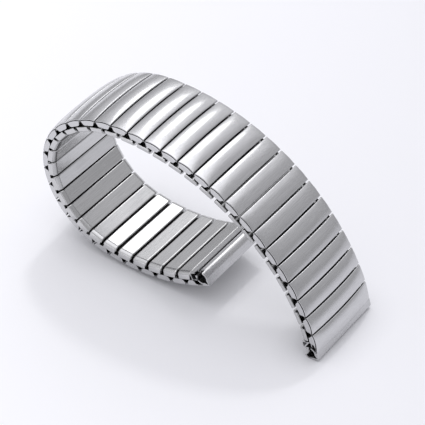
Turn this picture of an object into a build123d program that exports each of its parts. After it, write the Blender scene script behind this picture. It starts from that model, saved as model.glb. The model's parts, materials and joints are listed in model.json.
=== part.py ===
"""Expansion watch band: a double row of sheet-steel links, held together by wire staples
and leaf springs, with a spring-bar channel at each end.

Every link is drawn once in its own frame, with x along the band, y across it and z towards
the wrist. There z = 0 lies at the ends of the covers' long edges, where neighbouring covers
rock on each other. The links are then laid along the open curl that the band stands in.
Gap 1 lies beside terminal B and gap 34 beside terminal A. Outer link k lies between gaps
k and k + 1, and inner link k bridges gap k.
"""
from build123d import *
import math
import os

# Whole band, millimetres
band_width = 20.0
pitch = 4.08
sheet = 0.30
thin_sheet = 0.20
overrun = 5.0
seat = 0.03

# Outer link: domed cover with a flap at each end
cover_gap = 0.22
dome_rise = 0.40
crown_rise = 0.55
cover_edge_round = 0.10
flap_depth = 1.20
flap_recess = 0.35
flap_corner_round = 0.60

# Outer link: carrier under the cover, with its walls cut back for the staples
carrier_recess = 0.45
carrier_depth = 1.25
tongue_half_width = 0.50
flap_clearance = 0.05

# Inner link: closed box on the wrist side
inner_length = 3.10
inner_top = 1.62
inner_depth = 3.00
inner_wrist_round = 0.35
inner_cover_round = 0.40
inner_foot_inset = 0.10
inner_shoulder = 0.55
inner_shoulder_height = 0.30

# Staples of round wire, two at each edge of an inner link
wire = 0.40
staple_from_gap = 0.95
staple_cover_depth = 0.70
staple_leg_length = 3.05
staple_bend = 0.35
staple_slot_clearance = 0.10
staple_floor_clearance = 0.15
staple_wall_clearance = 0.30

# Leaf springs
spring_sheet = 0.12
spring_width = 1.60
spring_end_clearance = 0.05

# Terminal: a longer cover, and a folded sheet that makes its floor, box and spring-bar channel
terminal_length = 6.04
terminal_cover_length = 4.40
terminal_flap_length = 4.10
terminal_flap_recess = 1.00
terminal_box_start = 1.95
terminal_box_end = 3.45
terminal_box_depth = 3.05
bore_radius = 1.10
bore_from_end = 1.34
bore_depth = 1.75
channel_wall = 0.30
channel_slit = 0.45
channel_slit_depth = 1.50
pocket_reach = 1.85
pocket_half_angle = 24.0
tool_notch_length = 1.30
tool_notch_depth = 0.70

# How the band stands: the root link's tilt, and the bend at each gap from terminal B to A, in degrees
stance = 0.5
bend_counts = [1, 14, 1, 3, 4, 5, 1, 3, 2]
bend_angles = [9.0, 4.75, 8.0, 11.0, 15.5, 12.5, 6.5, 6.0, 6.5]
bends = [angle for count, angle in zip(bend_counts, bend_angles) for _ in range(count)]
last_gap = len(bends)
root_link = 30
first_expanding_gap = 7
last_expanding_gap = 27

# Sizes that follow
half_width = band_width / 2
half_cover = (pitch - cover_gap) / 2
half_inner = inner_length / 2
wire_radius = wire / 2
dome_radius = (half_cover**2 + dome_rise**2) / (2 * dome_rise)
crown_radius = (half_width**2 + crown_rise**2) / (2 * crown_rise)
carrier_half = pitch / 2 - carrier_recess
carrier_floor = carrier_depth - thin_sheet
inner_floor = inner_depth - thin_sheet
inner_ceiling = inner_top + thin_sheet
flap_inside = half_width - sheet
inner_foot = half_width - inner_foot_inset
inner_cavity_reach = inner_foot - inner_shoulder - thin_sheet
staple_web_reach = inner_cavity_reach - staple_slot_clearance - wire_radius
staple_leg_reach = staple_web_reach - staple_leg_length
carrier_floor_reach = staple_web_reach - wire_radius - staple_floor_clearance
carrier_wall_reach = staple_leg_reach - staple_wall_clearance
spring_reach = carrier_wall_reach - spring_end_clearance


def underside(x, y):
    """Depth of a link cover's inner face at a place along and across the band."""
    crown = crown_radius - crown_rise - math.sqrt(crown_radius**2 - y**2)
    dome = math.sqrt(dome_radius**2 - x**2) - dome_radius + dome_rise
    return crown - dome + sheet


cover_spring_bow = carrier_floor - spring_sheet - underside(spring_width / 2, 0)


def block(x0, x1, y0, y1, z0, z1):
    """A rectangular solid between two corners."""
    return Pos((x0 + x1) / 2, (y0 + y1) / 2, (z0 + z1) / 2) * Box(x1 - x0, y1 - y0, z1 - z0)


def outline(*points):
    """A flat face in the x-z plane from the places of its corners along the band and in depth."""
    return make_face(Polyline([(x, 0, z) for x, z in points], close=True))


def disc(x, z, radius):
    """A round face in the x-z plane."""
    return Plane((x, 0, z), z_dir=(0, 1, 0)) * Circle(radius)


def across(face, y0, y1):
    """A face of the x-z plane, extruded across the band from y0 to y1."""
    return Pos(0, y0, 0) * extrude(face, y1 - y0, dir=(0, 1, 0))


def full_width(face):
    """A face of the x-z plane, extruded over the whole width of the band."""
    return across(face, -half_width, half_width)


def far_end(piece):
    """The mirror image of a piece, at the other edge of the band."""
    return mirror(piece, Plane.XZ)


def domed_sheet(x0, x1):
    """A sheet from x0 to x1, domed along the band and crowned across it."""
    middle = (x0 + x1) / 2
    edge = -crown_rise
    outer = ThreePointArc((x0, 0, edge), (middle, 0, edge - dome_rise), (x1, 0, edge))
    inner = ThreePointArc((x1, 0, edge + sheet), (middle, 0, edge + sheet - dome_rise), (x0, 0, edge + sheet))
    face = make_face([outer, Line(outer @ 1, inner @ 0), inner, Line(inner @ 1, outer @ 0)])
    edges = [v for v in face.vertices() if v.Z < edge + sheet / 2]
    face = fillet(edges, cover_edge_round)
    axis = Axis((0, 0, crown_radius - crown_rise), (1, 0, 0))
    half_turn = math.degrees(math.asin((half_width + overrun) / crown_radius))
    swept = revolve(face.rotate(axis, -half_turn), axis, revolution_arc=2 * half_turn)
    return swept & block(x0 - overrun, x1 + overrun, -half_width, half_width, -overrun, overrun)


def end_flap(x0, x1, slope0, slope1):
    """The near end of a cover, folded down: domed above, with slanted sides below."""
    top = ThreePointArc((x0, 0, 0), ((x0 + x1) / 2, 0, -dome_rise), (x1, 0, 0))
    lower = Polyline((x1, 0, 0), (x1 - slope1, 0, flap_depth), (x0 + slope0, 0, flap_depth), (x0, 0, 0))
    face = make_face([top, lower])
    corners = [v for v in face.vertices() if v.Z > flap_depth / 2]
    return across(fillet(corners, flap_corner_round), -half_width, sheet - half_width)


def link_cover():
    """The visible domed shell of an outer link, with a flap at each end."""
    flap = end_flap(-half_cover, half_cover, flap_recess, flap_recess)
    return domed_sheet(-half_cover, half_cover) + flap + far_end(flap)


def link_carrier():
    """The channel under a cover: a floor, two walls between the staples, a tongue at each end."""
    wall_top = underside(carrier_half, carrier_wall_reach) + seat
    floor = block(-carrier_half, carrier_half, -carrier_floor_reach, carrier_floor_reach,
                  carrier_floor, carrier_depth)
    tongue = block(-tongue_half_width, tongue_half_width, -flap_inside, flap_inside,
                   carrier_floor, carrier_depth)
    wall = block(carrier_half - thin_sheet, carrier_half, -carrier_wall_reach, carrier_wall_reach,
                 wall_top, carrier_depth)
    return floor + tongue + wall + mirror(wall, Plane.YZ)


def leaf_spring(x, foot, bow):
    """A bowed strip: its ends stand at the depth foot and its middle stands bow above them."""
    low = ThreePointArc((0, -spring_reach, foot), (0, 0, foot - bow), (0, spring_reach, foot))
    top = foot - spring_sheet
    high = ThreePointArc((0, spring_reach, top), (0, 0, top - bow), (0, -spring_reach, top))
    face = make_face([low, Line(low @ 1, high @ 0), high, Line(high @ 1, low @ 0)])
    return Pos(x - spring_width / 2, 0, 0) * extrude(face, spring_width, dir=(1, 0, 0))


def inner_box():
    """The closed box of an inner link, with chamfered ends and a slot for each staple."""
    shoulder = inner_foot - inner_shoulder
    body = block(-half_inner, half_inner, -inner_foot, inner_foot, inner_top, inner_depth)
    body = fillet(body.edges().filter_by(Axis.Y).group_by(Axis.Z)[-1], inner_wrist_round)
    body = fillet(body.edges().filter_by(Axis.Y).group_by(Axis.Z)[0], inner_cover_round)
    slope = make_face(Polyline((0, -inner_foot, inner_depth - inner_shoulder_height),
                               (0, -shoulder, inner_depth), (0, -inner_foot, inner_depth), close=True))
    waste = Pos(-half_inner, 0, 0) * extrude(slope, inner_length, dir=(1, 0, 0))
    cavity_half = half_inner - thin_sheet
    cavity = block(-cavity_half, cavity_half, -inner_cavity_reach, inner_cavity_reach,
                   inner_ceiling, inner_floor)
    body = body - waste - far_end(waste) - cavity
    slot_half = wire_radius + staple_slot_clearance
    for middle in (-staple_from_gap, staple_from_gap):
        slot = block(middle - slot_half, middle + slot_half, staple_web_reach - slot_half,
                     inner_cavity_reach, 0, inner_top + 2 * thin_sheet)
        body = body - slot - far_end(slot)
    return body


def staple(x):
    """A wire staple at the near edge: one leg in the outer row, one in the inner row."""
    wrist_leg = inner_floor - wire_radius
    corners = [(x, -staple_leg_reach, staple_cover_depth), (x, -staple_web_reach, staple_cover_depth),
               (x, -staple_web_reach, wrist_leg), (x, -staple_leg_reach, wrist_leg)]
    path = FilletPolyline(*corners, radius=staple_bend)
    return sweep(Plane(path @ 0, z_dir=path % 0) * Circle(wire_radius), path=path)


def inner_link():
    """The pieces of an inner link, about the gap that it bridges."""
    bow = inner_floor - inner_ceiling - spring_sheet
    pieces = [("box", inner_box()), ("leaf_spring", leaf_spring(0, inner_floor, bow))]
    for number, middle in enumerate((-staple_from_gap, staple_from_gap), 1):
        near = staple(middle)
        pieces += [(f"near_staple_{number}", near), (f"far_staple_{number}", far_end(near))]
    return pieces


def outer_link():
    """The pieces of an outer link, about its middle."""
    spring = leaf_spring(0, carrier_floor, cover_spring_bow)
    return [("cover", link_cover()), ("carrier", link_carrier()), ("leaf_spring", spring)]


def terminal_cover():
    """The cover of a terminal, from its gap towards the end of the band."""
    start = cover_gap / 2
    flap = end_flap(start, terminal_flap_length, flap_recess, terminal_flap_recess)
    return domed_sheet(start, terminal_cover_length) + flap + far_end(flap)


def terminal_channel():
    """The folded sheet of a terminal: carrier floor, box, and the round channel for a spring bar."""
    middle = terminal_length - bore_from_end
    outer_radius = bore_radius + channel_wall
    corner_distance = math.hypot(bore_from_end, bore_depth)
    corner_angle = math.atan2(-bore_depth, bore_from_end)

    def at_bore(angle, radius):
        return middle + radius * math.cos(angle), bore_depth + radius * math.sin(angle)

    touch = at_bore(corner_angle + math.acos(outer_radius / corner_distance), outer_radius)
    end_wall = outline((terminal_cover_length, 0), (terminal_length, 0), touch, (middle, bore_depth),
                       (terminal_cover_length, channel_wall))
    floor = outline((carrier_recess, carrier_floor), (terminal_box_end, carrier_floor),
                    (terminal_box_end, carrier_depth), (carrier_recess, carrier_depth))
    box = outline((terminal_box_start, carrier_floor), (terminal_box_end, carrier_floor),
                  (terminal_box_end, terminal_box_depth), (terminal_box_start, terminal_box_depth))
    inside = (terminal_box_start + thin_sheet, terminal_box_end - thin_sheet)
    box_floor = terminal_box_depth - thin_sheet
    hollow = outline((inside[0], carrier_depth), (inside[1], carrier_depth),
                     (inside[1], box_floor), (inside[0], box_floor))
    slit = (channel_slit_depth - channel_slit / 2, channel_slit_depth + channel_slit / 2)
    neck = outline((inside[1], slit[0]), (middle, slit[0]), (middle, slit[1]), (inside[1], slit[1]))
    spread = math.radians(pocket_half_angle)
    pocket = outline((middle, bore_depth), at_bore(corner_angle - spread, bore_radius),
                     at_bore(corner_angle, pocket_reach), at_bore(corner_angle + spread, bore_radius))
    solid = full_width(disc(middle, bore_depth, outer_radius))
    for face in (end_wall, floor, box):
        solid = solid + full_width(face)
    for face in (hollow, neck, pocket, disc(middle, bore_depth, bore_radius)):
        solid = solid - full_width(face)
    deepest = bore_depth + outer_radius
    notch = block(inside[1], middle + bore_radius / 2, half_width - tool_notch_length, half_width + overrun,
                  deepest - tool_notch_depth, deepest + overrun)
    staple_space = block(0, terminal_box_start, carrier_floor_reach, half_width + overrun, 0, carrier_depth)
    flap_space = block(0, terminal_box_end, flap_inside, half_width + overrun, 0, flap_depth + flap_clearance)
    for waste in (notch, staple_space, flap_space):
        solid = solid - waste - far_end(waste)
    return solid


def terminal_spring():
    """The leaf spring under a terminal's cover."""
    return leaf_spring((cover_gap / 2 + terminal_cover_length) / 2, carrier_floor, cover_spring_bow)


def heading(link):
    """Direction of a link in the standing band, in degrees."""
    if link >= root_link:
        return stance + sum(bends[root_link:link])
    return stance - sum(bends[link:root_link])


def gap_places():
    """Where each gap stands, as {gap: (x, z)}, from the root link's own gap."""
    places = {root_link: (0, 0)}
    for gap in range(root_link + 1, last_gap + 1):
        x, z = places[gap - 1]
        turn = math.radians(heading(gap - 1))
        places[gap] = (x + pitch * math.cos(turn), z + pitch * math.sin(turn))
    for gap in range(root_link - 1, 0, -1):
        x, z = places[gap + 1]
        turn = math.radians(heading(gap))
        places[gap] = (x - pitch * math.cos(turn), z - pitch * math.sin(turn))
    return places


gaps = gap_places()


def at_gap(gap, angle):
    """The frame of a gap, turned by an angle in degrees."""
    x, z = gaps[gap]
    return Location((x, 0, z), (0, -angle, 0))


def at_link(link):
    """The frame of an outer link, about its middle."""
    return at_gap(link, heading(link)) * Location((pitch / 2, 0, 0))


def at_inner(gap):
    """The frame of an inner link, which halves the bend at its gap."""
    return at_gap(gap, (heading(gap - 1) + heading(gap)) / 2)


def placed(pieces, where):
    """Copies of named pieces in a link's frame."""
    copies = []
    for name, piece in pieces:
        copy = where * piece
        copy.label = name
        copies.append(copy)
    return copies


def make_nodes():
    """Every sub-part of the band as {name: its solids}, in the frame of the root link."""
    outer, inner = outer_link(), inner_link()
    cover, channel, spring = terminal_cover(), terminal_channel(), terminal_spring()
    nodes = {}
    half_turn = Rot(0, 0, 180)
    ends = {"a": at_gap(last_gap, heading(last_gap)), "b": at_gap(1, heading(0)) * half_turn}
    for name, where in ends.items():
        nodes[f"terminal_{name}_cover"] = placed([("cover", cover)], where)
        nodes[f"terminal_{name}_channel"] = placed([("channel", channel), ("leaf_spring", spring)], where)
    for link in range(1, last_gap):
        nodes[f"outer_link_{link:02d}"] = placed(outer, at_link(link))
    for gap in range(1, last_gap + 1):
        pieces = placed(inner, at_inner(gap))
        if gap in (1, last_gap) or first_expanding_gap <= gap <= last_expanding_gap:
            nodes[f"inner_link_{gap:02d}"] = pieces
        else:
            nodes[f"outer_link_{gap:02d}"] += pieces
    return nodes


def main():
    nodes = make_nodes()
    whole = Compound([piece for pieces in nodes.values() for piece in pieces]).bounding_box()
    shift = Pos(-(whole.min.X + whole.max.X) / 2, 0, -whole.min.Z)
    os.makedirs("parts", exist_ok=True)
    for name, pieces in nodes.items():
        moved = [shift * piece for piece in pieces]
        for piece, copy in zip(pieces, moved):
            copy.label = piece.label
        export_step(Compound(label=name, children=moved), f"parts/{name}.step")
    print("nodes", len(nodes), "solids", sum(len(pieces) for pieces in nodes.values()))
    for gap, (x, z) in sorted(gaps.items()):
        moved = (x + shift.position.X, z + shift.position.Z)
        print("gap", gap, *moved, "heading after it", heading(gap))


main()
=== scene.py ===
# %% [markdown]
# # Expansion watch band
# A real band of this kind is two rows of pressed steel links, one over the other and half a link
# apart. Wire staples tie the rows at each gap, and leaf springs hold the gaps shut.
# All links of a row are alike, so each is drawn once in its own frame, in millimetres: x along the
# band, y across it and z towards the wrist. It is then laid at each hinge line that the packed
# record gives, and a change to the pattern reaches every link.
# Link k lies between gaps k and k + 1. Link 0 is terminal B and link 34 is terminal A.

# %% load the frame
import json
import math
import bpy
import numpy as np
from mathutils import Matrix


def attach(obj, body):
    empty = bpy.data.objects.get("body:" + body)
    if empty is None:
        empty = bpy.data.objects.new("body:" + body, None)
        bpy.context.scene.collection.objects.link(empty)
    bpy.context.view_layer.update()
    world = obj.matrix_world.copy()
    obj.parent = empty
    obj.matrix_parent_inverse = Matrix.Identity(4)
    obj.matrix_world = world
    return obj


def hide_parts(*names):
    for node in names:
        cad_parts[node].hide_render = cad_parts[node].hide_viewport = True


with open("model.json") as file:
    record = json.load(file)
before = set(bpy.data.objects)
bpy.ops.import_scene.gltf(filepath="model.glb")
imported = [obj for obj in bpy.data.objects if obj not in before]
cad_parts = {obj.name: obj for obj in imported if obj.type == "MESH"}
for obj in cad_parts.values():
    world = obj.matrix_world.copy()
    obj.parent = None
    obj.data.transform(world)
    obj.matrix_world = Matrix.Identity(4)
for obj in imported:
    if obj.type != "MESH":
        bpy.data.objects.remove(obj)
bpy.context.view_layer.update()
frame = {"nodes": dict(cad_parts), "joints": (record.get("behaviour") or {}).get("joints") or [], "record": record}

# %% [markdown]
# ## Shared sizes
# These are the sizes that several pieces share, in millimetres. MM turns them to Blender's metres.
# A size that only one piece needs is written where that piece is drawn.

# %% shared sizes
MM = 0.001
PITCH = 4.08
HALF_WIDTH = 10.0
SHEET = 0.30
THIN = 0.20
LAST = 34
EXPANDING = range(7, 28)
print("band width", 2 * HALF_WIDTH, "pitch", PITCH, "gaps", LAST)

# %% [markdown]
# ## Where the links stand
# Neighbouring covers of the real band bend about the line where they meet, which is the gap.
# Each piece could be an object that is moved and turned, but a finished piece keeps its place in
# its mesh. So every link has a matrix that moves its points once. A link's direction runs from its
# first gap to its second, and the terminals' directions come from their spring-bar bores.

# %% link frames
BORE = (4.70, 1.75)

gaps = {
    int(joint["name"].split("_")[1]): np.array(joint["pos_m"])[[0, 2]] / MM
    for joint in frame["joints"]
    if joint["name"].startswith("flex")
}
bores = {mount["name"][-1]: np.array(mount["pos_m"])[[0, 2]] / MM for mount in frame["record"]["mounts"]}


def angle_of(vector):
    """Angle of (x, z) in radians, from +x towards +z."""
    return math.atan2(vector[1], vector[0])


headings = {k: angle_of(gaps[k + 1] - gaps[k]) for k in range(1, LAST)}
headings[LAST] = angle_of(bores["a"] - gaps[LAST]) - angle_of(BORE)
headings[0] = angle_of(bores["b"] - gaps[1]) + angle_of(BORE) - math.pi


def place(gap, angle, shift=0.0, flipped=False):
    """Matrix from a link's frame in millimetres to the row frame in metres.

    x turns to (cos, 0, sin) and z to (-sin, 0, cos) of the angle. Flipped turns x and y about z.
    """
    c, s = math.cos(angle), math.sin(angle)
    f = -1 if flipped else 1
    origin = gaps[gap] + shift * np.array([c, s])
    m = np.eye(4)
    m[:3, 0] = (f * c, 0, f * s)
    m[:3, 1] = (0, f, 0)
    m[:3, 2] = (-s, 0, c)
    m[:3, 3] = (origin[0], 0, origin[1])
    m[:3] *= MM
    return m


def at_link(k):
    """An outer link's middle is half a pitch past its first gap."""
    return place(k, headings[k], PITCH / 2)


def at_inner(k):
    """An inner link halves the bend at its gap; the bend is kept between minus and plus pi."""
    bend = (headings[k] - headings[k - 1] + math.pi) % (2 * math.pi) - math.pi
    return place(k, headings[k] - bend / 2)


print("terminal headings", round(math.degrees(headings[0]), 2), round(math.degrees(headings[LAST]), 2))

# %% [markdown]
# ## Mesh code
# A thin piece is a grid of points, rows by columns, and shell gives it a thickness. A solid piece
# is a loft through closed rings. Both are worked out as whole arrays, which is quick and keeps
# every formula in sight. A part is a pair of points and faces until it is laid.

# %% surfaces and solids
SMALLEST = 1e-9


def quads(rows, cols, wrap_cols=False, first=0):
    """Quads of a rows x cols grid of points, as vertex numbers; wrap_cols closes each row into a ring."""
    i = np.arange(rows - 1)[:, None]
    j = np.arange(cols if wrap_cols else cols - 1)[None, :]
    k = (j + 1) % cols
    a, b, c, d = i * cols + j, i * cols + k, (i + 1) * cols + k, (i + 1) * cols + j
    return np.stack([a, b, c, d], -1).reshape(-1, 4) + first


def normals(grid):
    """Unit normals of a grid, d/drow x d/dcolumn, from central differences."""
    n = np.cross(np.gradient(grid, axis=0), np.gradient(grid, axis=1))
    return n / np.maximum(np.linalg.norm(n, axis=-1, keepdims=True), SMALLEST)


def shell(grid, thickness, side=1):
    """A closed sheet: the grid, and the grid moved along side x its normal by the thickness."""
    rows, cols = grid.shape[:2]
    other = grid + side * thickness * normals(grid)
    n = rows * cols
    top, low = quads(rows, cols), quads(rows, cols, first=n)
    ids = np.arange(n).reshape(rows, cols)
    rim = np.concatenate([ids[0, :-1], ids[:-1, -1], ids[-1, :0:-1], ids[:0:-1, 0]])
    after = np.roll(rim, -1)
    wall = np.stack([rim, after, after + n, rim + n], -1)
    faces = np.concatenate([top[:, ::side], low[:, ::-side], wall[:, ::-side]])
    return np.concatenate([grid.reshape(-1, 3), other.reshape(-1, 3)]), faces.tolist()


def loft(rings):
    """A closed solid through rings of points, capped at both ends."""
    rows, cols = rings.shape[:2]
    faces = quads(rows, cols, wrap_cols=True).tolist()
    faces.append(list(range(cols))[::-1])
    faces.append([(rows - 1) * cols + j for j in range(cols)])
    return rings.reshape(-1, 3), faces


def arc(centre, radius, start, end, count):
    """Points on a circle from start to end degrees."""
    a = np.radians(np.linspace(start, end, count))
    return np.stack([centre[0] + radius * np.cos(a), centre[1] + radius * np.sin(a)], -1)


def arch_radius(half, rise):
    """Radius of the circle through the top and both feet of an arch: (half^2 + rise^2) / (2 rise)."""
    return (half**2 + rise**2) / (2 * rise)


def arch(t, half, rise):
    """Depth along an arch, from -rise in the middle to 0 at its feet: R - rise - sqrt(R^2 - t^2)."""
    radius = arch_radius(half, rise)
    return radius - rise - np.sqrt(radius**2 - t**2)


flat_sheet = shell(np.stack(np.meshgrid([0, 1, 2], [0, 1, 2], [0.0]), -1)[:, :, 0], 1)
print("a sheet of 2 by 2 quads has", len(flat_sheet[1]), "faces when closed")

# %% parts and objects
ALONG = (-1, 1, 1)
ACROSS = (1, -1, 1)
SMOOTH_BELOW = 35
BEVEL_ABOVE = 40
BEVEL_SEGMENTS = 2


def joined(*parts):
    """Several parts as one. Each part's vertex numbers start after those before it."""
    points, faces, first = [], [], 0
    for p, f in parts:
        points.append(p)
        faces += [[i + first for i in face] for face in f]
        first += len(p)
    return np.concatenate(points), faces


def turned(part):
    """The part with its faces the other way round, so that an inside turns to an outside."""
    points, faces = part
    return points, [face[::-1] for face in faces]


def mirrored(part, way):
    """The mirror image along or across the band, with its faces pointing outwards again."""
    points, faces = part
    return turned((points * way, faces))


def make_mesh(name, part, matrix):
    """An object at the origin whose mesh holds the part's place, smooth but for edges over SMOOTH_BELOW."""
    points, faces = part
    placed = points @ matrix[:3, :3].T + matrix[:3, 3]
    mesh = bpy.data.meshes.new(name)
    mesh.from_pydata(placed.tolist(), [], faces)
    mesh.validate()
    mesh.shade_smooth()
    mesh.set_sharp_from_angle(angle=math.radians(SMOOTH_BELOW))
    obj = bpy.data.objects.new(name, mesh)
    bpy.context.scene.collection.objects.link(obj)
    return obj


def bevelled(part, width):
    """The same part with its sharp edges rounded, worked out once for all its copies."""
    obj = make_mesh("pattern", part, np.eye(4))
    pattern_mesh = obj.data
    edge = obj.modifiers.new("edge", "BEVEL")
    edge.width, edge.segments = width, BEVEL_SEGMENTS
    edge.limit_method, edge.angle_limit = "ANGLE", math.radians(BEVEL_ABOVE)
    mesh = obj.evaluated_get(bpy.context.evaluated_depsgraph_get()).to_mesh()
    points = np.zeros(len(mesh.vertices) * 3)
    mesh.vertices.foreach_get("co", points)
    faces = [list(p.vertices) for p in mesh.polygons]
    bpy.data.objects.remove(obj)
    bpy.data.meshes.remove(pattern_mesh)
    return points.reshape(-1, 3), faces


print("bevelled, the same sheet has", len(bevelled(flat_sheet, THIN)[1]), "faces")

# %% [markdown]
# ## Cover tops
# A cover is one blank of sheet steel, pressed into a shallow dome along the band and a wide crown
# across it, with its long edges turned down. Subdivision of a rough box would give a soft pillow,
# and the real dome is a clean arc that shows in its highlight. So the section is an arc with two
# rounds, and it is carried over the crown. Near its ends the dome flattens, as a pressed sheet does
# beside a fold, and each end turns down in a small round.

# %% cover top
HALF_COVER = 1.885
DOME = 0.40
CROWN = 0.55
END_DOME = 0.22
END_HOLLOW = 0.012
FLAT_START = 5.50
EDGE_ROUND = 0.24
COVER_SIDE = 0.30
COVER_SHEET = 0.24
FOLD_END = 9.90
FOLD_ROUND = 0.12
FOLD_DEPTH = 0.14
DOME_POINTS = 21
CROWN_POINTS = 33
ROUND_POINTS = 6


def cover_section(half):
    """Points (x, z) over the dome, round each long edge and down its side.

    The round starts along the dome's own slope, asin(inner / R), and ends upright.
    """
    inner = half - EDGE_ROUND
    tilt = math.asin(inner / arch_radius(half, DOME))
    x = np.linspace(-inner, inner, DOME_POINTS)
    z = arch(x, half, DOME)
    turn = np.linspace(math.pi / 2 - tilt, 0, ROUND_POINTS)[1:]
    edge_x = inner + EDGE_ROUND * (np.cos(turn) - math.sin(tilt))
    edge_z = z[-1] + EDGE_ROUND * (math.cos(tilt) - np.sin(turn))
    edge_x, edge_z = np.append(edge_x, edge_x[-1]), np.append(edge_z, COVER_SIDE)
    px = np.concatenate([-edge_x[::-1], x, edge_x])
    return px * half / px.max(), np.concatenate([edge_z[::-1], z, edge_z])


def cover_top(x0, x1):
    """The domed sheet from x0 to x1, turned down at both ends.

    The dome's height is multiplied by 1 - s^2 (1 - END_DOME / DOME), where s runs from 0 at FLAT_START
    to 1 at the fold. In plan the ends are hollow: y is multiplied by 1 - END_HOLLOW (1 - (x / half)^2).
    """
    px, pz = cover_section((x1 - x0) / 2)
    a = np.linspace(0, math.pi / 2, ROUND_POINTS)
    y = np.append(FOLD_END - FOLD_ROUND * (1 - np.sin(a)), FOLD_END)
    z = arch(y, HALF_WIDTH, CROWN) + np.append(FOLD_ROUND * (1 - np.cos(a)), FOLD_DEPTH)
    middle = np.linspace(-y[0], y[0], CROWN_POINTS)[1:-1]
    y = np.concatenate([-y[::-1], middle, y])
    z = np.concatenate([z[::-1], arch(middle, HALF_WIDTH, CROWN), z])
    x = np.tile(px + (x0 + x1) / 2, (len(y), 1))
    s = np.clip((np.abs(y[:, None]) - FLAT_START) / (FOLD_END - FLAT_START), 0, 1)
    lowered = s**2 * (1 - END_DOME / DOME)
    hollow = 1 - END_HOLLOW * (1 - (px / px.max()) ** 2)
    grid = np.stack([x, y[:, None] * hollow, z[:, None] + pz - np.minimum(pz, 0) * lowered], -1)
    return shell(grid, COVER_SHEET, side=-1)


print("cover top points", len(cover_top(-HALF_COVER, HALF_COVER)[0]))

# %% [markdown]
# ## Cover flaps
# At each end of the cover the sheet is folded down into a flap, with its sides cut in so that the
# links can bend. A fine groove stays between the fold and the flap. One sheet bent all the way
# would need a very fine grid to keep that groove, so the flap is a sheet of its own, and a narrow
# strip closes the groove's bottom. The far end is the mirror image of the near one.

# %% cover pattern
FLAP_DEPTH = 1.20
FLAP_RECESS = 0.68
FLAP_CORNER = 0.28
FLAP_SHEET = 0.25
FLAP_LIP = 0.24
FLAP_EDGE = 0.07
FLAP_STEP_SHARE = 0.25
FLAP_ROWS = 12
FLAP_COLUMNS = 23
GROOVE_MARGIN = 0.05
GROOVE_REACH = 0.26
GROOVE_DROP = 0.02
GROOVE_SHEET = 0.05
GROOVE_COLUMNS = 15
TERMINAL_COVER = (0.17, 4.40)
TERMINAL_FLAP_END = 2.70
TERMINAL_FLAP_SLOPE = 0.60


def flap_top(x, half):
    """Depth of the flap's top edge: the flattened dome, moved down by FLAP_LIP."""
    return arch(x, half, DOME) * END_DOME / DOME + FLAP_LIP


def cover_flap(x0, x1, flap1, slope0, slope1):
    """The near flap, a flat sheet from its top edge down to FLAP_DEPTH.

    Its sides slope in by slope0 and slope1 over its depth. Each low corner is rounded, which takes
    off r (1 - sqrt(1 - t^2)) as t goes from 0 to 1 over the last r of the depth.
    """
    half = (x1 - x0) / 2
    share = np.linspace(0, 1, FLAP_COLUMNS)
    f = np.linspace(0, 1, FLAP_ROWS)[:, None]
    z = flap_top((2 * share - 1) * half, half) * (1 - f) + FLAP_DEPTH * f
    depth = np.clip(z / FLAP_DEPTH, 0, 1)
    t = np.clip((f * FLAP_DEPTH - (FLAP_DEPTH - FLAP_CORNER)) / FLAP_CORNER, 0, 1)
    corner = FLAP_CORNER * (1 - np.sqrt(1 - t**2))
    left = x0 + slope0 * depth + corner
    right = x1 + (flap1 - x1) * np.clip(depth / FLAP_STEP_SHARE, 0, 1) - slope1 * depth - corner
    x = left + (right - left) * share
    grid = np.stack([x, np.full_like(x, -HALF_WIDTH), z], -1)
    return bevelled(shell(grid, FLAP_SHEET), FLAP_EDGE)


def groove_floor(x0, x1):
    """The strip at the bottom of the groove, from the flap's middle to behind the fold."""
    half = (x1 - x0) / 2 - GROOVE_MARGIN
    x = np.linspace(-half, half, GROOVE_COLUMNS)
    y = np.array([-HALF_WIDTH + FLAP_SHEET / 2, -FOLD_END + GROOVE_REACH])
    z = flap_top(x, half) + GROOVE_DROP
    flat = (len(y), len(x))
    grid = np.stack([np.broadcast_to(x + (x0 + x1) / 2, flat), np.broadcast_to(y[:, None], flat),
                     np.broadcast_to(z, flat)], -1)
    return shell(grid, GROOVE_SHEET, side=-1)


def cover_pattern(x0, x1, flap1, slope0, slope1):
    """A cover from x0 to x1. Its flaps run from x0 to flap1 and narrow by the slopes."""
    end = joined(cover_flap(x0, x1, flap1, slope0, slope1), groove_floor(x0, x1))
    return joined(cover_top(x0, x1), end, mirrored(end, ACROSS))


link_cover = cover_pattern(-HALF_COVER, HALF_COVER, HALF_COVER, FLAP_RECESS, FLAP_RECESS)
terminal_cover = cover_pattern(*TERMINAL_COVER, TERMINAL_FLAP_END, FLAP_RECESS, TERMINAL_FLAP_SLOPE)
print("link cover points", len(link_cover[0]), "terminal cover points", len(terminal_cover[0]))

# %% [markdown]
# ## Inner links
# An inner link is a flat tube of thin sheet that lies on the wrist, with rounded long edges. A wide
# chamfer leads from its wrist face to each end, and an end wall leans out towards the covers.
# A bevelled box would give all its edges one round, and here they differ. So the box is a loft of
# rounded sections whose depth follows the chamfer, with a fine crease where chamfer and face meet.
# The wrist face stays truly flat, because a polished plane shows each bend in what it mirrors.

# %% inner link pattern
INNER_HALF = 1.62
INNER_TOP = 1.62
INNER_DEPTH = 3.00
COVER_ROUND = 0.36
WRIST_ROUND = 0.26
CORNER_POINTS = 5
FLAT_MARGIN = 0.06
FLAT_REACH = 8.70
FLAT_RINGS = 7
SHOULDER_REACH = 9.60
SHOULDER_TOP = 1.95
WALL_HALF = 1.44
WALL_EDGE = 0.03

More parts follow.
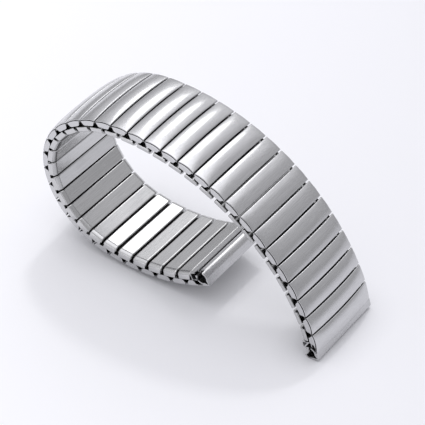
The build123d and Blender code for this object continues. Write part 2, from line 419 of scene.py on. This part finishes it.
# Both outlines are points (distance from the band's middle, depth) at one end.
CHAMFER = ((9.92, 2.56), (9.90, 2.64), (9.84, 2.70), (9.22, 3.06), (9.13, 3.08), (9.05, 2.95), (8.98, 3.00))
WALL = ((10.02, 1.66), (10.06, 1.48), (10.24, 1.55), (10.00, 2.54), (9.88, 2.60), (9.70, 2.54))


def rounded_section(x, z0, z1, r0, r1):
    """Rectangle from -x to x and z0 to z1 as a ring of (x, z), with corners of r0 at z0 and r1 at z1.

    Two more points on the z1 side, FLAT_MARGIN inside its rounds, hold its shading flat.
    """
    flat = x - r1 - FLAT_MARGIN
    return np.concatenate([arc((x - r0, z0 + r0), r0, -90, 0, CORNER_POINTS),
                           arc((x - r1, z1 - r1), r1, 0, 90, CORNER_POINTS),
                           [(flat, z1), (-flat, z1)],
                           arc((-x + r1, z1 - r1), r1, 90, 180, CORNER_POINTS),
                           arc((-x + r0, z0 + r0), r0, 180, 270, CORNER_POINTS)])


def tube():
    """Rings across the band from chamfer to chamfer.

    A ring's low side is the outline's depth. Past the shoulder its top is cut back, clear of the flaps.
    """
    outline = np.array(CHAMFER)
    y = np.concatenate([-outline[:, 0], np.linspace(-FLAT_REACH, FLAT_REACH, FLAT_RINGS), outline[::-1, 0]])
    depth = np.concatenate([outline[:, 1], np.full(FLAT_RINGS, INNER_DEPTH), outline[::-1, 1]])
    rings = []
    for yy, low in zip(y, depth):
        top = SHOULDER_TOP if abs(yy) > SHOULDER_REACH else INNER_TOP
        ring = rounded_section(INNER_HALF, top, low, COVER_ROUND, WRIST_ROUND)
        rings.append(np.stack([ring[:, 0], np.full(len(ring), yy), ring[:, 1]], -1))
    return turned(loft(np.array(rings)))


def end_wall():
    """The near end wall: its outline in the y-z plane, drawn along the link."""
    reach, depth = np.array(WALL).T
    rings = [np.stack([np.full_like(reach, x), -reach, depth], -1) for x in (-WALL_HALF, WALL_HALF)]
    return bevelled(turned(loft(np.array(rings))), WALL_EDGE)


near_wall = end_wall()
inner_box = joined(tube(), near_wall, mirrored(near_wall, ACROSS))
print("inner link points", len(inner_box[0]))

# %% [markdown]
# ## Carriers
# Under each cover lies a folded sheet: a floor with a tongue to each flap, and a wall along each
# long side. It holds the leaf spring and the staples' legs. Little of it shows, and only in the
# gaps or when the band is stretched, so plain plates are enough.

# %% carrier pattern
CARRIER_HALF = 1.59
CARRIER_DEPTH = 1.25
CARRIER_FLOOR_REACH = 8.50
CARRIER_WALL_REACH = 5.50
CARRIER_WALL_TOP = -0.06
TONGUE_HALF = 0.50
HAIR = 0.001


def plate(x0, x1, reach, z0, z1):
    """A flat plate from x0 to x1 and z0 to z1, as far as reach on both sides of the band's middle."""
    ring = np.array([[x0, z0], [x1, z0], [x1, z1], [x0, z1]])
    rings = [np.stack([ring[:, 0], np.full(len(ring), y), ring[:, 1]], -1) for y in (-reach, reach)]
    return turned(loft(np.array(rings)))


floor_depth = CARRIER_DEPTH - THIN
carrier_floor = plate(-CARRIER_HALF, CARRIER_HALF, CARRIER_FLOOR_REACH, floor_depth, CARRIER_DEPTH)
tongue = plate(-TONGUE_HALF, TONGUE_HALF, HALF_WIDTH - SHEET, floor_depth + HAIR, CARRIER_DEPTH - HAIR)
carrier_wall = plate(CARRIER_HALF - THIN, CARRIER_HALF, CARRIER_WALL_REACH,
                     CARRIER_WALL_TOP, CARRIER_DEPTH - HAIR)
carrier = joined(carrier_floor, tongue, carrier_wall, mirrored(carrier_wall, ALONG))
print("carrier points", len(carrier[0]))

# %% [markdown]
# ## Leaf springs
# A bowed strip of spring steel stands between the carrier's floor and the cover, and presses the
# staples' legs home. It is an arch across the band with a thickness.

# %% cover spring
SPRING_HALF = 0.80
SPRING_SHEET = 0.12
SPRING_REACH = 5.45
SPRING_POINTS = 25


def leaf_spring(foot, bow):
    """A strip on an arch from its feet at foot to bow nearer the cover."""
    y = np.linspace(-SPRING_REACH, SPRING_REACH, SPRING_POINTS)[:, None]
    x = np.array([-SPRING_HALF, SPRING_HALF])
    grid = np.stack(np.broadcast_arrays(x, y, foot + arch(y, SPRING_REACH, bow)), -1)
    return shell(grid, SPRING_SHEET, side=-1)


underside = SHEET + arch(0, HALF_WIDTH, CROWN) + arch(SPRING_HALF, HALF_COVER, DOME)
spring_room = floor_depth - SPRING_SHEET - underside
cover_spring = leaf_spring(floor_depth, spring_room)
print("spring bow", round(float(spring_room), 2), "mm, points", len(cover_spring[0]))

# %% [markdown]
# ## Staples
# A staple is a U of round wire with one leg in the outer row and one in the inner row. Blender
# could bevel a curve for it. A loft of rings along the route gives the same tube as plain points,
# which the other patterns can be joined with.

# %% staple pattern
WIRE = 0.20
WIRE_SIDES = 10
STAPLE_OFFSET = 0.95
STAPLE_DEPTHS = (0.70, 2.60)
STAPLE_WEB = 8.85
STAPLE_LEG = 5.80
STAPLE_BEND = 0.35
BEND_POINTS = 5


def staple(x):
    """Round wire of radius WIRE, swept along a U in the y-z plane at the near edge.

    A ring's point at angle a is x + WIRE cos a along the band, and WIRE sin a along the route's normal.
    """
    r, web = STAPLE_BEND, -STAPLE_WEB
    top, low = STAPLE_DEPTHS
    route = np.concatenate([[[-STAPLE_LEG, top]], arc((web + r, top + r), r, 270, 180, BEND_POINTS),
                            arc((web + r, low - r), r, 180, 90, BEND_POINTS), [[-STAPLE_LEG, low]]])
    along = np.gradient(route, axis=0)
    along /= np.linalg.norm(along, axis=1, keepdims=True)
    side = np.stack([-along[:, 1], along[:, 0]], -1)
    a = np.radians(np.arange(WIRE_SIDES) * 360 / WIRE_SIDES)
    ring_x = np.tile(x + WIRE * np.cos(a), (len(route), 1))
    yz = route[:, None] + WIRE * np.sin(a)[None, :, None] * side[:, None]
    return turned(loft(np.concatenate([ring_x[..., None], yz], -1)))


near_staples = joined(staple(-STAPLE_OFFSET), staple(STAPLE_OFFSET))
staples = joined(near_staples, mirrored(near_staples, ACROSS))
print("staple points", len(staples[0]))

# %% [markdown]
# ## Materials
# All the metal is stainless steel. The covers and boxes are rolled sheet with a satin finish,
# which mirrors softly and shows a fine grain. The springs and wire are darker hard-drawn steel, and
# they and the carriers are painted darker still, as shade, so the gaps where they show look black.
# An image of brushed metal could give the grain, but a noise texture in real millimetres needs no
# file and fits every link. All pieces keep their place in their mesh, so Object coordinates are
# the row frame in metres, and grain drawn out along y runs across the band on every link, as the
# rolled strip's grain does. The corners and gaps that light hardly reaches get painted shade.
# A real grain of a few hundredths of a millimetre is too fine to show here, so it is drawn coarser.

# %% material functions
BLOTCH_MM = 3.85
GRAIN_DEPTH_MM = 0.01
CORNER_REACH_MM = 0.6
NOISE_LOW, NOISE_HIGH = 0.3, 0.7
CLOSED_SKY, OPEN_SKY = 0.2, 0.65
OCCLUSION_SAMPLES = 6


def linear(hex_colour):
    """sRGB hex to linear: c / 12.92 below 0.04045, else ((c + 0.055) / 1.055)^2.4."""
    c = np.array([int(hex_colour[i:i + 2], 16) for i in (1, 3, 5)]) / 255
    return (*np.where(c <= 0.04045, c / 12.92, ((c + 0.055) / 1.055) ** 2.4), 1.0)


def node(tree, kind, links=(), **settings):
    """Adds a shader node. A setting is a property or an input's value; links are (input, socket) pairs."""
    n = tree.nodes.new("ShaderNode" + kind)
    for key, value in settings.items():
        if hasattr(n, key):
            setattr(n, key, value)
        else:
            n.inputs[key].default_value = value
    for name, socket in links:
        tree.links.new(socket, n.inputs[name])
    return n


def steel(name, dark, light, rough, grain_mm, streak, bump, painted_shade):
    """Rolled steel: grain of grain_mm, drawn out streak times across the band, in colour and bump.

    Its roughness wanders between the two values of rough. Where little sky is open, the colour is
    painted darker, as shade, by up to the share that the last argument gives.
    """
    mat = bpy.data.materials.new(name)
    mat.use_nodes = True
    t = mat.node_tree
    t.nodes.clear()
    here = node(t, "TexCoord").outputs["Object"]
    finest = 1 / (grain_mm * MM)
    drawn_out = node(t, "Mapping", [("Vector", here)], Scale=(finest, finest / streak, finest))
    grain = node(t, "TexNoise", [("Vector", drawn_out.outputs[0])], Scale=1.0, Detail=3.0, Roughness=0.6)
    blotch = node(t, "TexNoise", [("Vector", here)], Scale=1 / (BLOTCH_MM * MM), Detail=2.0)
    colour = node(t, "ValToRGB", [("Fac", grain.outputs["Fac"])])
    first, last = colour.color_ramp.elements
    first.position, last.position = NOISE_LOW, NOISE_HIGH
    first.color, last.color = linear(dark), linear(light)
    gloss = node(t, "MapRange", [("Value", blotch.outputs["Fac"])],
                 **{"From Min": NOISE_LOW, "From Max": NOISE_HIGH, "To Min": rough[0], "To Max": rough[1]})
    height = node(t, "Bump", [("Height", grain.outputs["Fac"])], Strength=bump, Distance=GRAIN_DEPTH_MM * MM)
    # Painted shade: the colour is darkened where occlusion finds little open sky, in gaps and corners.
    open_sky = node(t, "AmbientOcclusion", Distance=CORNER_REACH_MM * MM, samples=OCCLUSION_SAMPLES)
    shade_factor = node(t, "MapRange", [("Value", open_sky.outputs["AO"])],
                **{"From Min": CLOSED_SKY, "From Max": OPEN_SKY, "To Min": 1 - painted_shade, "To Max": 1.0})
    shaded_colour = node(t, "VectorMath", [(0, colour.outputs["Color"]), ("Scale", shade_factor.outputs[0])],
                 operation="SCALE")
    surface = node(t, "BsdfPrincipled", [("Base Color", shaded_colour.outputs[0]), ("Roughness", gloss.outputs[0]),
                                         ("Normal", height.outputs[0])], Metallic=1.0)
    node(t, "OutputMaterial", [("Surface", surface.outputs[0])])
    return mat


# The last number of each finish is the share of painted shade in its gaps and corners.
cover_steel = steel("steel_satin_rolled_cover", "#c6c6c7", "#d4d4d5", (0.20, 0.28), 0.12, 40, 0.25, 0.93)
inner_steel = steel("steel_pressed_inner", "#c4c4c4", "#d1d1d1", (0.18, 0.26), 0.15, 30, 0.2, 0.95)
# Springs, carriers and staples: darker steel, painted darker still as shade in the gaps.
dark_steel_and_gap_shade = steel("steel_spring_hidden", "#343332", "#454443", (0.34, 0.46), 0.1, 10, 0.2, 0.95)
channel_steel = steel("steel_folded_channel", "#bfbfc0", "#cececf", (0.22, 0.30), 0.12, 40, 0.2, 0.9)
print("materials", [m.name for m in (cover_steel, inner_steel, dark_steel_and_gap_shade, channel_steel)])

# %% [markdown]
# ## Laying the pieces
# Each piece is made in its place, rides on the body of its link and stands for that link's solids.
# Instances of one mesh would be lighter, but a piece has to hold its own place to be posed.
# The inner links of gaps 7 to 27 are bodies of their own, because they slide as the band
# stretches. Those of gaps 1 and 34 belong to the terminals, and the others to the outer link
# beside them. Four boxes are a little shorter, which leaves room for the full bend beside them.

# %% outer links
BOX_LENGTH_SHARES = {1: 0.96, 2: 0.96, 28: 0.98, 29: 0.98}


def lay(name, part, matrix, material, body):
    """Makes a piece at a place, gives it its finish and lets it ride on a body."""
    obj = make_mesh(name, part, matrix)
    obj.data.materials.append(material)
    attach(obj, body)
    return obj


def body_of_link(k):
    """The body of link k: a terminal at either end, and an outer link between them."""
    return "terminal_b" if k == 0 else "terminal_a" if k == LAST else f"outer_link_{k:02d}"


for k in range(1, LAST):
    body, where = body_of_link(k), at_link(k)
    cover = lay(f"cover_{k:02d}", link_cover, where, cover_steel, body)
    holder = lay(f"carrier_{k:02d}", carrier, where, dark_steel_and_gap_shade, body)
    spring = lay(f"cover_spring_{k:02d}", cover_spring, where, dark_steel_and_gap_shade, body)
    for piece in (cover, holder, spring):
        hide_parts(f"outer_link_{k:02d}")
print("outer links", LAST - 1)

# %% inner links
for k in range(1, LAST + 1):
    own = f"inner_link_{k:02d}"
    if k in EXPANDING:
        body = own
    elif k in (1, LAST):
        body = body_of_link(0 if k == 1 else LAST)
    else:
        body = own = body_of_link(k)
    points, faces = inner_box
    trimmed = (points * (BOX_LENGTH_SHARES.get(k, 1), 1, 1), faces)
    box = lay(f"inner_box_{k:02d}", trimmed, at_inner(k), inner_steel, body)
    wires = lay(f"staples_{k:02d}", staples, at_inner(k), dark_steel_and_gap_shade, body)
    for piece in (box, wires):
        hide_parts(own)
print("inner links", LAST)

# %% [markdown]
# ## Terminals
# A terminal has a longer cover over a folded channel that takes the spring bar. The channel's
# solid has its full shape already, so it is shown as it is, with a finish of its own.

# %% terminals
for end, k, gap in (("a", LAST, LAST), ("b", 0, 1)):
    where = place(gap, headings[k], flipped=end == "b")
    cover = lay(f"terminal_cover_{end}", terminal_cover, where, cover_steel, body_of_link(k))
    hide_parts(f"terminal_{end}_cover")
    channel = frame["nodes"][f"terminal_{end}_channel"]
    channel.data.materials.clear()
    channel.data.materials.append(channel_steel)

# %% [markdown]
# ## Floor
# The band stands on matt white paper, painted a little darker towards the picture's right as
# shade where the light falls off.
# Metal this bright would burn out if the paper's white came from strong lamps. So the lamps stay
# at a plain level, and the paper adds a faint glow of its own for camera and glossy rays alone:
# the picture and the metal see a white sheet, and the band's underside isn't lit by it. The glow
# fades near the band, where little sky is open, so that the shadow under it stays.

# %% floor
FLOOR_HALF = 3
FALL_WAY = (0.82, 0.57, 0)
FALL_START, FALL_END = -0.05, 0.13
FALL_MIDDLE_SHARE = 0.55
GLOW = 0.30
CONTACT_MM = 8

floor_mesh = bpy.data.meshes.new("floor")
corners = [(x * FLOOR_HALF, y * FLOOR_HALF, 0) for x, y in ((-1, -1), (1, -1), (1, 1), (-1, 1))]
floor_mesh.from_pydata(corners, [], [(0, 1, 2, 3)])
floor = bpy.data.objects.new("floor", floor_mesh)
bpy.context.scene.collection.objects.link(floor)

paper = bpy.data.materials.new("paper_sweep")
paper.use_nodes = True
t = paper.node_tree
t.nodes.clear()
across = node(t, "VectorMath", [(0, node(t, "TexCoord").outputs["Object"])], operation="DOT_PRODUCT")
across.inputs[1].default_value = FALL_WAY
# Painted shade: the paper's colour falls off towards the picture's right.
fall = node(t, "MapRange", [("Value", across.outputs["Value"])],
            **{"From Min": FALL_START, "From Max": FALL_END})
painted_falloff_shade = node(t, "ValToRGB", [("Fac", fall.outputs[0])])
painted_falloff_shade.color_ramp.elements.new(FALL_MIDDLE_SHARE)
for stop, shade in zip(painted_falloff_shade.color_ramp.elements, ("#d3d3d6", "#c3c3c7", "#a0a0a3")):
    stop.color = linear(shade)
sheen = node(t, "BsdfPrincipled", [("Base Color", painted_falloff_shade.outputs["Color"])], Roughness=0.8)
contact = node(t, "AmbientOcclusion", Distance=CONTACT_MM * MM, samples=OCCLUSION_SAMPLES)
strength = node(t, "Math", [(0, contact.outputs["AO"])], operation="MULTIPLY")
strength.inputs[1].default_value = GLOW
glow = node(t, "Emission", [("Strength", strength.outputs[0])], Color=linear("#fafaff"))
lit = node(t, "AddShader", [(0, sheen.outputs[0]), (1, glow.outputs[0])])
ray = node(t, "LightPath")
either = node(t, "Math", [(0, ray.outputs["Is Camera Ray"]), (1, ray.outputs["Is Glossy Ray"])],
              operation="MAXIMUM")
seen = node(t, "MixShader", [(0, either.outputs[0]), (1, sheen.outputs[0]), (2, lit.outputs[0])])
node(t, "OutputMaterial", [("Surface", seen.outputs[0])])
floor_mesh.materials.append(paper)
print("floor", paper.name)

# %% [markdown]
# ## Light
# Polished metal shows its room more than its lamps. A photographer would hang white cards round it,
# and here the world does that: a plain level with four soft patches, each a smooth step on the
# angle from its direction. One soft lamp behind the band and above it is the key. A smaller one
# beside it throws the band's shadow, and glossy rays don't see it, because its small square would
# be a hard glint on the steel.

# %% lamps
KEY = (-0.299, 0.613, 0.731)
SPOT = (-0.252, 0.516, 0.819)
LAMP_AIM = (0, 0, 0.015)
LAMP_DISTANCE = 0.8


def unit(vector):
    """The vector divided by its length."""
    return np.array(vector, float) / np.linalg.norm(vector)


def turned_to(back, aim, distance):
    """World matrix of a lamp at aim + distance x back, with its own z axis along back and x level."""
    x = unit(np.cross((0, 0, 1), back))
    m = np.eye(4)
    m[:3, :3] = np.stack([x, np.cross(back, x), back], -1)
    m[:3, 3] = np.array(aim) + back * distance
    return m


def softbox(name, direction, size, watts):
    """A square area lamp in a direction from the band, turned to face it."""
    data = bpy.data.lights.new(name, "AREA")
    data.shape, data.size = "SQUARE", size
    data.energy = watts
    lamp = bpy.data.objects.new(name, data)
    lamp.matrix_world = Matrix(turned_to(unit(direction), LAMP_AIM, LAMP_DISTANCE).tolist())
    bpy.context.scene.collection.objects.link(lamp)
    return lamp


key = softbox("key", KEY, 0.25, 0.46)
spot = softbox("spot", SPOT, 0.08, 1.3)
spot.visible_glossy = False
print("lamps", key.name, spot.name)

# %% world
ROOM = 0.52
ROOM_COLOUR = "#f6f6fa"

# Each patch: its direction, the degrees where it is full and where it ends, and its strength.
PATCHES = (
    (KEY, 6, 44, 0.42),
    ((0.38, 0.66, 0.64), 8, 36, 0.10),
    ((-0.1, 0, 1), 12, 40, 1.2),
    ((-0.6, -0.55, 0.45), 10, 40, 0.35),
)


def patch(tree, total, direction, inner, outer, amount):
    """Adds a soft patch to the world: full within inner degrees of a direction, none beyond outer."""
    way = node(tree, "TexCoord").outputs["Generated"]
    near = node(tree, "VectorMath", [(0, way)], operation="DOT_PRODUCT")
    near.inputs[1].default_value = unit(direction)
    edges = {"From Min": math.cos(math.radians(outer)), "From Max": math.cos(math.radians(inner))}
    fade = node(tree, "MapRange", [("Value", near.outputs["Value"])], interpolation_type="SMOOTHSTEP",
                **edges, **{"To Max": amount})
    return node(tree, "Math", [(0, fade.outputs[0]), (1, total)], operation="ADD").outputs[0]


world = bpy.data.worlds.new("studio")
bpy.context.scene.world = world
world.use_nodes = True
t = world.node_tree
t.nodes.clear()
total = node(t, "Value").outputs[0]
total.default_value = ROOM
for facts in PATCHES:
    total = patch(t, total, *facts)
sky = node(t, "Background", [("Strength", total)], Color=linear(ROOM_COLOUR))
node(t, "OutputWorld", [("Surface", sky.outputs[0])])
print("patches", len(PATCHES))

# %% [markdown]
# ## Camera
# The photograph was taken from the front right and well above, with a long lens. The angles, the
# distance and the lens were fitted to the gaps that show in it. Standard view keeps the paper white.

# %% camera
AZIMUTH, ELEVATION, ROLL = -56.700, 40.210, 1.996
CAMERA_AIM_MM = (1.34, 0.75, 14.87)
CAMERA_DISTANCE_MM = 412.2
LENS = 171.62
SENSOR = 36.0

camera_data = bpy.data.cameras.new("camera")
camera_data.sensor_width = SENSOR
camera_data.lens = LENS
camera_data.clip_start, camera_data.clip_end = 0.01, 10
camera = bpy.data.objects.new("camera", camera_data)
azimuth, elevation, roll = map(math.radians, (AZIMUTH, ELEVATION, ROLL))
level = math.cos(elevation)
back = np.array((level * math.cos(azimuth), level * math.sin(azimuth), math.sin(elevation)))
camera_matrix = Matrix(turned_to(back, np.array(CAMERA_AIM_MM) * MM, CAMERA_DISTANCE_MM * MM).tolist())
camera.matrix_world = camera_matrix @ Matrix.Rotation(roll, 4, "Z")
bpy.context.scene.collection.objects.link(camera)
bpy.context.scene.camera = camera
bpy.context.scene.view_settings.view_transform = "Standard"
print("camera at", [round(c / MM, 1) for c in camera.matrix_world.translation], "mm")
